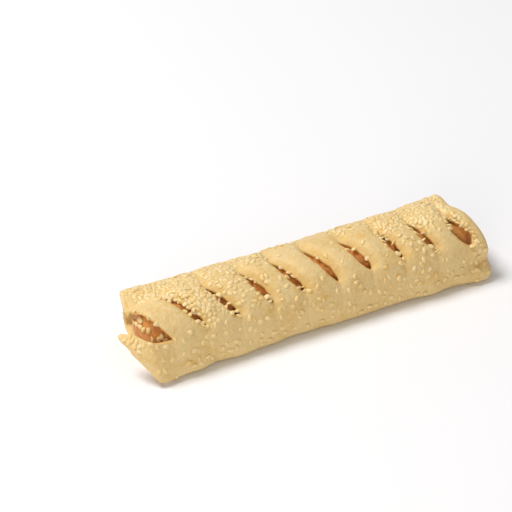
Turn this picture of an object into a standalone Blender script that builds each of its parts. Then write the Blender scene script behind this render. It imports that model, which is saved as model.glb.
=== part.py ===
"""A sausage roll ready for the oven: one long frankfurter in a sleeve of raw puff pastry.

The sleeve is a sheet wrapped round the sausage. It is flat underneath and open at both ends.
Ten slanting cuts cross its top. Nine of them gape inside the sheet, and the first one runs out
at the left end, where the flap of dough below it has dropped over the tip of the sausage.

Metres, +Z up. The roll lies along X, and the cuts slope down its front, which faces -Y.
"""

import math

import bmesh
import bpy
from mathutils import Vector

MM = 0.001
TURN = 2 * math.pi

# The wrapped sheet. Angles run round the roll: 0 is the front, 90 the top, 180 the back.
LENGTH = 184 * MM
HALF_WIDTH_FRONT = 23.0 * MM
HALF_WIDTH_BACK = 22.5 * MM
FRONT_FLARE = 1.5 * MM
FOOT_FLARE = 2.0 * MM
FOOT_ANGLE = -5
FOOT_SPREAD = 16
BACK_FLARE = 2.0 * MM
HEIGHT = 33.3 * MM
END_RISE = 1.2 * MM
WIDEST_HEIGHT = 5 * MM
BASE_CUT = 0.6 * MM
UPPER_FULLNESS = 2.3
LOWER_FULLNESS = 4.0
DOUGH_THICKNESS = 2.6 * MM
LIP_THICKNESS = 1.4 * MM
BASE_THICKNESS = 3.6 * MM
THINNEST_DOUGH = 1.5 * MM

# The frankfurter inside.
SAUSAGE_RADIUS = 13.0 * MM
SAUSAGE_LEFT = -92.0 * MM
SAUSAGE_RIGHT = 90.0 * MM
SAUSAGE_SIDE = -2.0 * MM
SAUSAGE_HEIGHT = BASE_THICKNESS + 0.3 * MM + SAUSAGE_RADIUS
SAUSAGE_CLEARANCE = 0.6 * MM
SAUSAGE_SIDES = 28
SAUSAGE_CAP_RINGS = 6

# The cuts, counted from the left end. Each runs from its low end up and back to the left.
SLIT_PITCH = 18.3 * MM
FIRST_SLIT_LOW_END = -82.5 * MM
SLIT_SHIFTS = [value * MM for value in (1.7, 1.2, 0.6, 0.8, -0.3, -0.3, -0.4, -1.0, -1.2, -0.3)]
SLIT_RUNS = [value * MM for value in (15.5, 14.8, 11.7, 10.8, 10.6, 10.8, 9.4, 8.1, 8.3, 8.6)]
SLIT_LOW = math.radians(42)
SLIT_TOP = math.radians(90)
SLIT_LOW_DIPS = [math.radians(value) for value in (-4, -1, -2, 2, 3, 2, 4, 5, 2, -4)]
SLIT_TOP_DIPS = [math.radians(value) for value in (0, -2, -8, -2, -2, 1, -3, -4, -8, -13)]
SLIT_GAPES = [value * MM for value in (0.0, 3.6, 3.2, 3.4, 3.8, 3.8, 3.9, 3.0, 3.6, 7.2)]
GAPE_SKEW = 0.88
GAPE_BLUNTNESS = 0.8
GAPE_SPREAD = 0.3
CUTS = len(SLIT_GAPES)

# How a strip puffs between two cuts: a crown, a left shoulder that sinks to its cut and ends in
# a thin raised rim, and a right edge that stays high. Widths are shares of the strip.
STRIP_PUFF = 1.3 * MM
PUFF_ANGLE = 68
PUFF_SPREAD = 45
CROWN_SKEW = 0.8
CROWN_BLUNTNESS = 0.7
SHOULDER_DROP = 2.3 * MM
SHOULDER_WIDTH = 0.34
RIM_LIFT = 0.9 * MM
RIM_WIDTH = 0.09
EDGE_WIDTH = 0.14
END_SHARE = 0.6
OPEN_SHARE = 0.4
TOP_CREASE = math.radians(34)
LOW_CREASE = math.radians(7)

# The dropped flap at the left end, below the first cut.
FLAP_REACH = 10.8 * MM
FLAP_LOW = math.radians(-13)
FLAP_TIP = math.radians(72)
FLAP_TIP_WIDTH = 1.4 * MM
FLAP_GROWTH = 1.2
FLAP_CURL = 3.3
FLAP_SHOULDER = (0.12, 0.78, 0.12)
FLAP_SAG = math.radians(7)
FLAP_FOLD_START = -92 * MM
FLAP_FOLD = 0.45
TORN_CORNER_WIDTH = 2.5 * MM

# What the open ends do: (angle, spread, amount) in degrees and millimetres.
LEFT_END_BULGES = ((92, 15, -6.5),)
RIGHT_END_BULGES = ((14, 11, -4.0), (94, 10, -3.0), (120, 15, 1.8))
LEFT_END_TRIM = ((180, 40, 4.5), (100, 25, -3.0), (-14, 8, 8.0), (275, 60, 3.7))
RIGHT_END_TRIM = ((115, 50, -12.5), (75, 24, -1.5), (-14, 7, -5.0))
END_REACH = 13 * MM

# How finely the sheet is divided.
STRIP_FRACTIONS = (0.0, 0.1, 0.3, 0.6, 0.86)
FLAP_FRACTIONS = (0.0, 0.3, 0.6, 0.85)
END_FRACTIONS = (0.0, 0.15, 0.4, 0.7, 0.88)
ROW_SPANS = ((42, 90, 8), (90, 180, 9), (180, 200, 3), (200, 340, 6), (340, 402, 7))
ANGLE_SLACK = 1e-9


def bell(value, centre, spread):
    return math.exp(-(((value - centre) / spread) ** 2))


def fade(share):
    """A smooth step from 1 at share 0 to 0 at share 1."""
    share = min(1.0, max(0.0, share))
    return (1 - share) ** 2 * (1 + 2 * share)


def angle_gap(theta, degrees):
    """The shortest turn in degrees between an angle and a direction."""
    return (math.degrees(theta) - degrees + 180) % 360 - 180


def row_angles():
    rows = []
    for start, end, count in ROW_SPANS:
        rows += [math.radians(start + (end - start) * i / count) for i in range(count)]
    return rows


def end_bulge(theta, x):
    """Ears and hollows of the sheet near its two open ends, as a change of radius."""
    total = 0.0
    for end, bulges in ((-LENGTH / 2, LEFT_END_BULGES), (LENGTH / 2, RIGHT_END_BULGES)):
        nearness = bell(x, end, END_REACH)
        for angle, spread, amount in bulges:
            total += amount * MM * nearness * bell(angle_gap(theta, angle), 0, spread)
    return total


def section_radius(theta, x):
    """Distance of the sheet's outside from the roll's line of widest points."""
    share = min(1.0, abs(x) / (LENGTH / 2))
    if math.cos(theta) > 0:
        foot = FOOT_FLARE * bell(angle_gap(theta, FOOT_ANGLE), 0, FOOT_SPREAD)
        reach = HALF_WIDTH_FRONT + (FRONT_FLARE + foot) * share**2
    else:
        reach = HALF_WIDTH_BACK + BACK_FLARE * share**2
    upper = math.sin(theta) > 0
    rise = HEIGHT + END_RISE * share**2 - WIDEST_HEIGHT if upper else WIDEST_HEIGHT + BASE_CUT
    power = UPPER_FULLNESS if upper else LOWER_FULLNESS
    across = abs(math.cos(theta)) / reach
    upward = abs(math.sin(theta)) / rise
    return (across**power + upward**power) ** (-1 / power)


def slit_progress(theta):
    """0 at a slit's low end and 1 at its top end; round the back it returns to 0."""
    zone = SLIT_TOP - SLIT_LOW
    turn = (theta - SLIT_LOW) % TURN
    if turn <= zone:
        return turn / zone
    return 0.5 + 0.5 * math.cos(math.pi * (turn - zone) / (TURN - zone))


def in_slit_zone(theta):
    return (theta - SLIT_LOW) % TURN <= SLIT_TOP - SLIT_LOW + ANGLE_SLACK


def flap_reach(theta):
    """How far the front of the left end stands out; it grows from the base up to the flap."""
    turn = (theta - FLAP_LOW) % TURN
    share = turn / (FLAP_TIP - FLAP_LOW)
    return FLAP_REACH * math.sin(math.pi / 2 * share**FLAP_GROWTH) if share <= 1 else 0.0


def end_line(theta, side):
    trims = LEFT_END_TRIM if side < 0 else RIGHT_END_TRIM
    x = side * LENGTH / 2
    for angle, spread, amount in trims:
        x += amount * MM * bell(angle_gap(theta, angle), 0, spread)
    return x


def guide_line(number, theta):
    """x of guide line number: 0 is the left end, 1 to 10 are the slits, 11 the right end."""
    if number == 0:
        below_flap = (theta - FLAP_LOW) % TURN <= SLIT_LOW - FLAP_LOW + ANGLE_SLACK
        return end_line(theta, -1) - (flap_reach(theta) if below_flap else 0.0)
    if number > CUTS:
        return end_line(theta, 1)
    low_end = FIRST_SLIT_LOW_END + SLIT_PITCH * (number - 1) + SLIT_SHIFTS[number - 1]
    x = low_end - SLIT_RUNS[number - 1] * slit_progress(theta)
    return max(x, end_line(theta, -1) + TORN_CORNER_WIDTH) if number == 1 else x


def opening(number, theta):
    """Half the gape of a slit, which is 0 outside the slit zone and on the two ends."""
    if not 1 <= number <= CUTS or not in_slit_zone(theta):
        return 0.0
    wave = max(0.0, math.sin(math.pi * slit_progress(theta) ** GAPE_SKEW))
    return SLIT_GAPES[number - 1] / 2 * wave**GAPE_BLUNTNESS


def across_strip(dips, strip, fraction):
    left = dips[strip - 1] if strip > 0 else dips[0]
    right = dips[strip] if strip < len(dips) else 0.0
    return left + (right - left) * fraction


def dip(strip, fraction, theta):
    """Turn that moves the two ends of each cut to their own heights, fading round the roll."""
    low = across_strip(SLIT_LOW_DIPS, strip, fraction)
    top = across_strip(SLIT_TOP_DIPS, strip, fraction)
    if strip == 0:
        low -= FLAP_SAG * math.sin(math.pi * fraction)
    if in_slit_zone(theta):
        return low + (top - low) * slit_progress(theta)
    below = (theta - FLAP_LOW) % TURN
    if below < SLIT_LOW - FLAP_LOW:
        return low * below / (SLIT_LOW - FLAP_LOW)
    return top * max(0.0, 1 - (theta - SLIT_TOP) / SLIT_TOP)


def roll_point(x, theta, radius):
    point = Vector((x, -radius * math.cos(theta), WIDEST_HEIGHT + radius * math.sin(theta)))
    point.z = max(0.0, point.z)
    return clear_of_sausage(point, THINNEST_DOUGH)


def folded(x):
    """Share of its radius that the front keeps where it hangs past the sausage's tip."""
    past = max(0.0, FLAP_FOLD_START - x) / FLAP_REACH
    return 1 - FLAP_FOLD * past


def flap_point(fraction, theta):
    """A point of the dropped flap, from its outer edge at 0 to its cut edge at 1."""
    along = slit_progress(theta)
    low = SLIT_LOW + SLIT_LOW_DIPS[0]
    height, place, spread = FLAP_SHOULDER
    lift = along**FLAP_CURL + height * bell(along, place, spread)
    outer_angle = low + (FLAP_TIP - low) * along
    cut_angle = low + (FLAP_TIP - low) * lift
    outer = -LENGTH / 2 - flap_reach(outer_angle)
    root = guide_line(1, SLIT_LOW)
    tip = -LENGTH / 2 - FLAP_REACH + FLAP_TIP_WIDTH
    x = outer + (root + (tip - root) * along - outer) * fraction
    sag = FLAP_SAG * math.sin(math.pi * fraction) * (1 - along)
    turned = outer_angle + (cut_angle - outer_angle) * fraction - sag
    return roll_point(x, turned, section_radius(turned, x) * folded(x))


def shut(number, theta):
    """1 where a cut's lips meet, 0 where they stand well apart."""
    return 1 - min(1.0, opening(number, theta) / (OPEN_SHARE * max(SLIT_GAPES) / 2))


def crease(number, theta):
    """1 along a cut, fading along the groove that runs on from each of its ends."""
    if not 2 <= number <= CUTS:
        return 0.0
    if in_slit_zone(theta):
        return 1 - (1 - END_SHARE) * shut(number, theta)
    past_top = (theta - SLIT_TOP) % TURN / TOP_CREASE
    short_of_low = (SLIT_LOW - theta) % TURN / LOW_CREASE
    return END_SHARE * max(fade(past_top), fade(short_of_low))


def strip_relief(strip, fraction, theta, turned):
    """How far the dough stands above its plain section: crown, left shoulder, right edge."""
    left = crease(strip, theta)
    right = crease(strip + 1, theta) * shut(strip + 1, theta)
    height = -SHOULDER_DROP * left * fade(fraction / SHOULDER_WIDTH)
    height += RIM_LIFT * left * fade(fraction / RIM_WIDTH)
    height -= (SHOULDER_DROP - RIM_LIFT) * right * fade((1 - fraction) / EDGE_WIDTH)
    if 0 < strip < CUTS and 0 < fraction < 1:
        crown = math.sin(math.pi * fraction**CROWN_SKEW) ** CROWN_BLUNTNESS
        height += STRIP_PUFF * crown * bell(angle_gap(turned, PUFF_ANGLE), 0, PUFF_SPREAD)
    return height


def dough_point(strip, fraction, theta):
    """A point of the sheet's outside, fraction of the way across a strip between two guides."""
    left, right = guide_line(strip, theta), guide_line(strip + 1, theta)
    x = left + (right - left) * fraction
    x += opening(strip, theta) * bell(fraction, 0, GAPE_SPREAD)
    x -= opening(strip + 1, theta) * bell(fraction, 1, GAPE_SPREAD)
    turned = theta + dip(strip, fraction, theta)
    radius = section_radius(turned, x) + end_bulge(turned, x)
    if math.cos(turned) > 0:
        radius *= folded(x)
    return roll_point(x, turned, radius + strip_relief(strip, fraction, theta, turned))


def clear_of_sausage(point, extra):
    """The point, pushed out where the sausage holds the dough away from its line."""
    if point.z <= 0:
        return point
    along = min(max(point.x, SAUSAGE_LEFT + SAUSAGE_RADIUS), SAUSAGE_RIGHT - SAUSAGE_RADIUS)
    axis = Vector((along, SAUSAGE_SIDE, SAUSAGE_HEIGHT))
    away = point - axis
    least = SAUSAGE_RADIUS + SAUSAGE_CLEARANCE + extra
    return axis + away.normalized() * least if away.length < least else point


def sheet_faces(rows, columns):
    """The sheet's quads as lists of corner keys. A key is (column, row, torn side)."""
    top_row = rows.index(SLIT_TOP)
    count = len(rows)
    for c in range(len(columns) - 1):
        for r in range(count):
            strip = columns[c][0]
            corners = ((c, r), (c, (r + 1) % count), (c + 1, (r + 1) % count), (c + 1, r))
            yield [corner_key(columns, column, row, strip, r, top_row) for column, row in corners]


def corner_key(columns, column, row, strip, face_row, top_row):
    """Names a corner of the quad at (strip, face_row), telling the two lips of a slit apart."""
    below_first = strip == 0 and face_row < top_row
    if below_first and 0 < row <= top_row:
        return (column, row, "flap")
    on_guide = columns[column][1] == 0.0 and 1 < columns[column][0] <= CUTS
    if on_guide and 0 < row < top_row and strip < columns[column][0]:
        return (column, row, "left lip")
    return (column, row, "")


def key_point(rows, columns, key):
    column, row, side = key
    strip, fraction = columns[column]
    theta = rows[row]
    if side == "flap":
        return flap_point(fraction if strip == 0 else 1.0, theta)
    if side == "left lip":
        return dough_point(strip - 1, 1.0, theta)
    return dough_point(strip, fraction, theta)


def sheet_columns():
    """(strip, fraction) of each column; the last one is the right end."""
    columns = [(0, fraction) for fraction in FLAP_FRACTIONS]
    for strip in range(1, CUTS):
        columns += [(strip, fraction) for fraction in STRIP_FRACTIONS]
    columns += [(CUTS, fraction) for fraction in END_FRACTIONS]
    return columns + [(CUTS, 1.0)]


def inner_point(vert):
    """Where the inside of the sheet lies under a point of its outside."""
    thickness = LIP_THICKNESS if vert.is_boundary else DOUGH_THICKNESS
    point = clear_of_sausage(vert.co - vert.normal * thickness, 0.0)
    if vert.co.z <= 0:
        point.z = BASE_THICKNESS
    return point


def pastry_mesh():
    """The slashed sheet, thickened inwards and closed along its lips and ends."""
    rows, columns = row_angles(), sheet_columns()
    bm = bmesh.new()
    outside = {}
    for keys in sheet_faces(rows, columns):
        for key in keys:
            if key not in outside:
                outside[key] = bm.verts.new(key_point(rows, columns, key))
        bm.faces.new([outside[key] for key in reversed(keys)])
    bm.normal_update()
    inside = {vert: inner_point(vert) for vert in bm.verts}
    edges = [edge for edge in bm.edges if edge.is_boundary]
    faces = list(bm.faces)
    inside = {vert: bm.verts.new(point) for vert, point in inside.items()}
    for face in faces:
        bm.faces.new([inside[vert] for vert in reversed(face.verts)])
    for edge in edges:
        loop = edge.link_loops[0]
        start, end = loop.vert, loop.link_loop_next.vert
        bm.faces.new((end, start, inside[start], inside[end]))
    mesh = bpy.data.meshes.new("pastry")
    bm.to_mesh(mesh)
    bm.free()
    return mesh


def sausage_mesh():
    """A straight skinned sausage with round ends, spun about the X axis."""
    bm = bmesh.new()
    profile = []
    for i in range(SAUSAGE_CAP_RINGS + 1):
        angle = math.pi / 2 * i / SAUSAGE_CAP_RINGS
        back = SAUSAGE_RADIUS * (1 - math.cos(angle))
        profile.append((SAUSAGE_LEFT + back, SAUSAGE_RADIUS * math.sin(angle)))
    profile += [(SAUSAGE_RIGHT + SAUSAGE_LEFT - x, radius) for x, radius in reversed(profile)]
    chain = [bm.verts.new((x, 0, radius)) for x, radius in profile]
    edges = [bm.edges.new(pair) for pair in zip(chain, chain[1:])]
    bmesh.ops.spin(
        bm,
        geom=chain + edges,
        axis=(1, 0, 0),
        cent=(0, 0, 0),
        angle=TURN,
        steps=SAUSAGE_SIDES,
        use_merge=True,
    )
    bmesh.ops.remove_doubles(bm, verts=bm.verts, dist=0.01 * MM)
    bmesh.ops.recalc_face_normals(bm, faces=bm.faces)
    mesh = bpy.data.meshes.new("sausage")
    bm.to_mesh(mesh)
    bm.free()
    return mesh


def material(name, colour, roughness):
    made = bpy.data.materials.new(name)
    made.use_nodes = True
    shader = made.node_tree.nodes["Principled BSDF"]
    shader.inputs["Base Color"].default_value = (*colour, 1)
    shader.inputs["Roughness"].default_value = roughness
    shader.inputs["Metallic"].default_value = 0.0
    return made


def place(name, mesh, finish, location):
    mesh.materials.append(finish)
    mesh.shade_smooth()
    mesh.set_sharp_from_angle(angle=math.radians(40))
    made = bpy.data.objects.new(name, mesh)
    made.location = location
    bpy.context.scene.collection.objects.link(made)
    return made


def build():
    for old in list(bpy.data.objects):
        bpy.data.objects.remove(old)
    dough = material("raw_pastry", (0.82, 0.66, 0.37), 0.6)
    skin = material("sausage_skin", (0.52, 0.17, 0.07), 0.35)
    pastry = pastry_mesh()
    low = [min(vert.co[i] for vert in pastry.vertices) for i in (0, 1)]
    high = [max(vert.co[i] for vert in pastry.vertices) for i in (0, 1)]
    centre = Vector(((low[0] + high[0]) / 2, (low[1] + high[1]) / 2, 0))
    place("pastry", pastry, dough, -centre)
    place("sausage", sausage_mesh(), skin, Vector((0, SAUSAGE_SIDE, SAUSAGE_HEIGHT)) - centre)


build()
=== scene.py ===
"""A sausage roll ready for the oven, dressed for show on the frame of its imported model.

One frankfurter lies in a sleeve of raw puff pastry. The sleeve is slashed across the top and was
strewn with sesame seeds. Metres, +Z up. The roll lies along X, and its front faces -Y.
"""

import math
import random
from itertools import product

import bmesh
import bpy
import numpy as np
from mathutils import Matrix, Vector, noise
from mathutils.bvhtree import BVHTree


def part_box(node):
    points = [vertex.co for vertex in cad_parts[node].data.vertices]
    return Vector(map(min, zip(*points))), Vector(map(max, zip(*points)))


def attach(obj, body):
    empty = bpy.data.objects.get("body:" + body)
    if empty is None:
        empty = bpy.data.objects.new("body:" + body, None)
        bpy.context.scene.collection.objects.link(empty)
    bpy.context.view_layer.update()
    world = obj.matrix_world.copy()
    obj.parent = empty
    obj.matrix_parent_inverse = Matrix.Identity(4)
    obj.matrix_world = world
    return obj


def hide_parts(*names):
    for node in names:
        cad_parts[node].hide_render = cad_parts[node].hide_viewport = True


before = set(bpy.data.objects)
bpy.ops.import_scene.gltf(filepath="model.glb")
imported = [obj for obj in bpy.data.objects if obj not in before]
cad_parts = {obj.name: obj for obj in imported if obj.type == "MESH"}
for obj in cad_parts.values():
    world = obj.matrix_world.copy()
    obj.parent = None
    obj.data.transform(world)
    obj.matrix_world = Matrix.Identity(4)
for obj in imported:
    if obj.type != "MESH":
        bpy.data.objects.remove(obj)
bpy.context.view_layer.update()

# The pastry sleeve. A sheet of raw puff pastry some 2.6 mm thick is slashed by a cutter, wrapped
# round the frankfurter and sealed underneath. Stretched over the top, the slashes gape, and each
# strip between them puffs up like a scale whose left shoulder sinks towards its cut.

MM = 0.001
TURN = 2 * math.pi
sausage_low, sausage_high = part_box("sausage")
SAUSAGE_RADIUS = (sausage_high.z - sausage_low.z) / 2
SAUSAGE_HALF_LENGTH = (sausage_high.x - sausage_low.x) / 2
SAUSAGE_HEIGHT = (sausage_high.z + sausage_low.z) / 2
SAUSAGE_SIDE = -2.0 * MM
SAUSAGE_LEFT = -92.0 * MM
SAUSAGE_RIGHT = SAUSAGE_LEFT + 2 * SAUSAGE_HALF_LENGTH
ROLL_MIDDLE = Vector(
    (
        sausage_low.x - SAUSAGE_LEFT,
        (sausage_low.y + sausage_high.y) / 2 - SAUSAGE_SIDE,
        0,
    )
)

# The wrapped sheet. Angles run round the roll: 0 is the front, 90 the top, 180 the back.
SLEEVE_LENGTH = 184 * MM
HALF_WIDTH_FRONT = 23.0 * MM
HALF_WIDTH_BACK = 22.5 * MM
FRONT_FLARE = 1.5 * MM
FOOT_FLARE = 2.0 * MM
FOOT_ANGLE = -5
FOOT_SPREAD = 16
FOOT_WAVE = 1.6 * MM
FOOT_WAVE_LENGTH = 13 * MM
FOOT_WAVE_SEED = 7
BACK_FLARE = 2.0 * MM
SLEEVE_HEIGHT = 33.3 * MM
END_RISE = 1.2 * MM
WIDEST_HEIGHT = 5 * MM
BASE_CUT = 0.6 * MM
UPPER_FULLNESS = 2.3
LOWER_FULLNESS = 4.0
BASE_THICKNESS = 3.6 * MM
THINNEST_DOUGH = 0.9 * MM
DOUGH_THICKNESS = 2.6 * MM
LIP_THICKNESS = 2.0 * MM
SAUSAGE_CLEARANCE = 0.3 * MM

# The cuts, counted from the left end. Each runs from its low end up and back to the left. Its
# two ends are turned round the roll by their dips, and its lips pull the dough beside them apart.
SLIT_PITCH = 18.3 * MM
FIRST_SLIT_LOW_END = -82.5 * MM
SLIT_SHIFTS = [value * MM for value in (1.7, 1.2, 0.6, 0.8, -0.3, -0.3, -0.4, -1.0, -1.2, -0.3)]
SLIT_RUNS = [value * MM for value in (15.5, 14.8, 11.7, 10.8, 10.6, 10.8, 9.4, 8.1, 8.3, 8.6)]
SLIT_LOW = math.radians(42)
SLIT_TOP = math.radians(90)
SLIT_LOW_DIPS = [math.radians(value) for value in (-4, -1, -2, 2, 3, 2, 4, 5, 2, -4)]
SLIT_TOP_DIPS = [math.radians(value) for value in (0, -2, -8, -2, -2, 1, -3, -4, -8, -13)]
SLIT_GAPES = [value * MM for value in (0.0, 4.5, 4.0, 3.8, 4.2, 4.0, 4.4, 4.0, 4.2, 7.8)]
GAPE_SKEW = 0.88
GAPE_BLUNTNESS = 0.8
GAPE_SPREAD = 0.3
OPEN_SHARE = 0.4
ANGLE_SLACK = 1e-9
CUTS = len(SLIT_GAPES)

# How a strip puffs between two cuts.
STRIP_PUFF = 1.3 * MM
PUFF_ANGLE = 68
PUFF_SPREAD = 45
CROWN_SKEW = 0.8
CROWN_BLUNTNESS = 0.7
SHOULDER_DROP = 2.3 * MM
SHOULDER_WIDTH = 0.34
RIM_LIFT = 0.9 * MM
RIM_WIDTH = 0.09
TOP_END_SHARE = 0.6
LOW_END_SHARE = 0.3
TORN_LENGTH = 2.1 * MM
TORN_DEPTH = 0.9 * MM
TORN_WIDTH = 0.1
EDGE_WIDTH = 0.14
TOP_CREASE = math.radians(34)
LOW_CREASE = math.radians(7)

# The dropped flap at the left end, below the first cut.
FLAP_REACH = 10.8 * MM
FLAP_GROWTH = 1.2
FLAP_LOW = math.radians(-13)
FLAP_TIP = math.radians(72)
FLAP_TIP_WIDTH = 1.2 * MM
FLAP_CURL = 3.3
FLAP_SHOULDER = (0.12, 0.78, 0.12)
FLAP_SAG = math.radians(7)
FLAP_FOLD_START = -92 * MM
FLAP_FOLD = 0.45
TORN_CORNER_WIDTH = 2.5 * MM

# What the open ends do: (angle, spread, amount) in degrees and millimetres. A bulge moves the
# dough out from the roll's line, and a trim moves the edge along it, to the right where positive.
LEFT_END_BULGES = ((92, 15, -6.5),)
RIGHT_END_BULGES = ((14, 11, -4.0), (94, 10, -3.0), (118, 16, 2.6))
LEFT_END_TRIM = ((180, 40, 3.0), (147, 16, 2.2), (100, 25, -3.6), (-14, 8, 8.0), (275, 60, 3.7))
RIGHT_END_TRIM = ((117, 49, -11.3), (122, 16, 2.1), (72, 26, -0.8), (10, 30, 0.5), (-14, 7, -5.0))
END_REACH = 13 * MM
LEFT_EDGE_ROLL = 2.2 * MM
LEFT_ROLL_END = math.radians(198)
RIGHT_EDGE_ROLL = 3.5 * MM

# How finely the sheet is divided.
STRIP_FRACTIONS = (0.0, 0.04, 0.1, 0.18, 0.28, 0.4, 0.52, 0.64, 0.75, 0.85, 0.93)
FLAP_FRACTIONS = (0.0, 0.08, 0.2, 0.35, 0.5, 0.65, 0.8, 0.92)
END_FRACTIONS = (0.0, 0.06, 0.15, 0.27, 0.4, 0.55, 0.7, 0.82, 0.92, 0.97)
# Rows round the roll: (from, to, number of rows) in degrees; the first span is the slit zone.
ROW_SPANS = ((42, 90, 20), (90, 180, 22), (180, 200, 4), (200, 340, 14), (340, 402, 18))


def bell(value, centre, spread):
    """1 at the centre, falling softly to both sides."""
    return math.exp(-(((value - centre) / spread) ** 2))


def fade(share):
    """A smooth step from 1 at share 0 to 0 at share 1."""
    share = min(1.0, max(0.0, share))
    return (1 - share) ** 2 * (1 + 2 * share)


def angle_gap(theta, degrees):
    """The shortest turn in degrees between an angle and a direction."""
    return (math.degrees(theta) - degrees + 180) % 360 - 180


def row_angles():
    """The angle of each row, in radians, once round the roll."""
    rows = []
    for start, end, count in ROW_SPANS:
        rows += [math.radians(start + (end - start) * i / count) for i in range(count)]
    return rows


def end_bulge(theta, x):
    """Ears and hollows of the sheet near its two open ends, as a change of radius."""
    total = 0.0
    for end, bulges in ((-SLEEVE_LENGTH / 2, LEFT_END_BULGES), (SLEEVE_LENGTH / 2, RIGHT_END_BULGES)):
        nearness = bell(x, end, END_REACH)
        for angle, spread, amount in bulges:
            total += amount * MM * nearness * bell(angle_gap(theta, angle), 0, spread)
    return total


def section_radius(theta, x):
    """Distance of the sheet's outside from the roll's line of widest points."""
    share = min(1.0, abs(x) / (SLEEVE_LENGTH / 2))
    if math.cos(theta) > 0:
        wave = noise.noise(Vector((x / FOOT_WAVE_LENGTH, FOOT_WAVE_SEED, 0)))
        foot = FOOT_FLARE * share**2 + FOOT_WAVE * wave
        foot *= bell(angle_gap(theta, FOOT_ANGLE), 0, FOOT_SPREAD)
        reach = HALF_WIDTH_FRONT + FRONT_FLARE * share**2 + foot
    else:
        reach = HALF_WIDTH_BACK + BACK_FLARE * share**2
    upper = math.sin(theta) > 0
    rise = SLEEVE_HEIGHT + END_RISE * share**2 - WIDEST_HEIGHT if upper else WIDEST_HEIGHT + BASE_CUT
    power = UPPER_FULLNESS if upper else LOWER_FULLNESS
    across = abs(math.cos(theta)) / reach
    upward = abs(math.sin(theta)) / rise
    return (across**power + upward**power) ** (-1 / power)


def slit_progress(theta):
    """0 at a slit's low end and 1 at its top end; round the back it returns to 0."""
    zone = SLIT_TOP - SLIT_LOW
    turn = (theta - SLIT_LOW) % TURN
    if turn <= zone:
        return turn / zone
    return 0.5 + 0.5 * math.cos(math.pi * (turn - zone) / (TURN - zone))


def slit_angle(share):
    """The angle at a share of the way from a slit's low end to its top end."""
    return SLIT_LOW + (SLIT_TOP - SLIT_LOW) * share


def in_slit_zone(theta):
    """True between the angles where the cutter starts and ends its cuts."""
    return (theta - SLIT_LOW) % TURN <= SLIT_TOP - SLIT_LOW + ANGLE_SLACK


def flap_reach(theta):
    """How far the front of the left end stands out; it grows from the base up to the flap."""
    turn = (theta - FLAP_LOW) % TURN
    share = turn / (FLAP_TIP - FLAP_LOW)
    return FLAP_REACH * math.sin(math.pi / 2 * share**FLAP_GROWTH) if share <= 1 else 0.0


def end_line(theta, side):
    """x of an open end at an angle: side -1 is the left end and 1 the right."""
    trims = LEFT_END_TRIM if side < 0 else RIGHT_END_TRIM
    x = side * SLEEVE_LENGTH / 2
    for angle, spread, amount in trims:
        x += amount * MM * bell(angle_gap(theta, angle), 0, spread)
    return x


def guide_line(number, theta):
    """x of guide line number: 0 is the left end, 1 to 10 are the slits, 11 the right end."""
    if number == 0:
        below_flap = (theta - FLAP_LOW) % TURN <= SLIT_LOW - FLAP_LOW + ANGLE_SLACK
        return end_line(theta, -1) - (flap_reach(theta) if below_flap else 0.0)
    if number > CUTS:
        return end_line(theta, 1)
    low_end = FIRST_SLIT_LOW_END + SLIT_PITCH * (number - 1) + SLIT_SHIFTS[number - 1]
    x = low_end - SLIT_RUNS[number - 1] * slit_progress(theta)
    return max(x, end_line(theta, -1) + TORN_CORNER_WIDTH) if number == 1 else x


def opening(number, theta):
    """Half the gape of a slit, which is 0 outside the slit zone and on the two ends."""
    if not 1 <= number <= CUTS or not in_slit_zone(theta):
        return 0.0
    wave = max(0.0, math.sin(math.pi * slit_progress(theta) ** GAPE_SKEW))
    return SLIT_GAPES[number - 1] / 2 * wave**GAPE_BLUNTNESS


def across_strip(dips, strip, fraction):
    """The dip between a strip's two cuts; there is none at the right end."""
    left = dips[strip - 1] if strip > 0 else dips[0]
    right = dips[strip] if strip < len(dips) else 0.0
    return left + (right - left) * fraction


def dip(strip, fraction, theta):
    """Turn that moves the two ends of each cut to their own heights, fading round the roll."""
    low = across_strip(SLIT_LOW_DIPS, strip, fraction)
    top = across_strip(SLIT_TOP_DIPS, strip, fraction)
    if strip == 0:
        low -= FLAP_SAG * math.sin(math.pi * fraction)
    if in_slit_zone(theta):
        return low + (top - low) * slit_progress(theta)
    below = (theta - FLAP_LOW) % TURN
    if below < SLIT_LOW - FLAP_LOW:
        return low * below / (SLIT_LOW - FLAP_LOW)
    return top * max(0.0, 1 - (theta - SLIT_TOP) / SLIT_TOP)


def clear_of_sausage(point, extra):
    """The point, pushed out where the sausage holds the dough away from its line."""
    if point.z <= 0:
        return point
    along = min(max(point.x, SAUSAGE_LEFT + SAUSAGE_RADIUS), SAUSAGE_RIGHT - SAUSAGE_RADIUS)
    axis = Vector((along, SAUSAGE_SIDE, SAUSAGE_HEIGHT))
    away = point - axis
    least = SAUSAGE_RADIUS + SAUSAGE_CLEARANCE + extra
    return axis + away.normalized() * least if away.length < least else point


def away_from_line(point):
    """The direction straight out from the sausage's own line to a point."""
    return Vector((0, point.y - SAUSAGE_SIDE, point.z - SAUSAGE_HEIGHT)).normalized()


def roll_point(x, theta, radius):
    """A point of the dough's outside, kept above the table and clear of the sausage."""
    point = Vector((x, -radius * math.cos(theta), WIDEST_HEIGHT + radius * math.sin(theta)))
    point.z = max(0.0, point.z)
    return clear_of_sausage(point, THINNEST_DOUGH)


def folded(x):
    """Share of its radius that the front keeps where it hangs past the sausage's tip."""
    past = max(0.0, FLAP_FOLD_START - x) / FLAP_REACH
    return 1 - FLAP_FOLD * past


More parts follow.
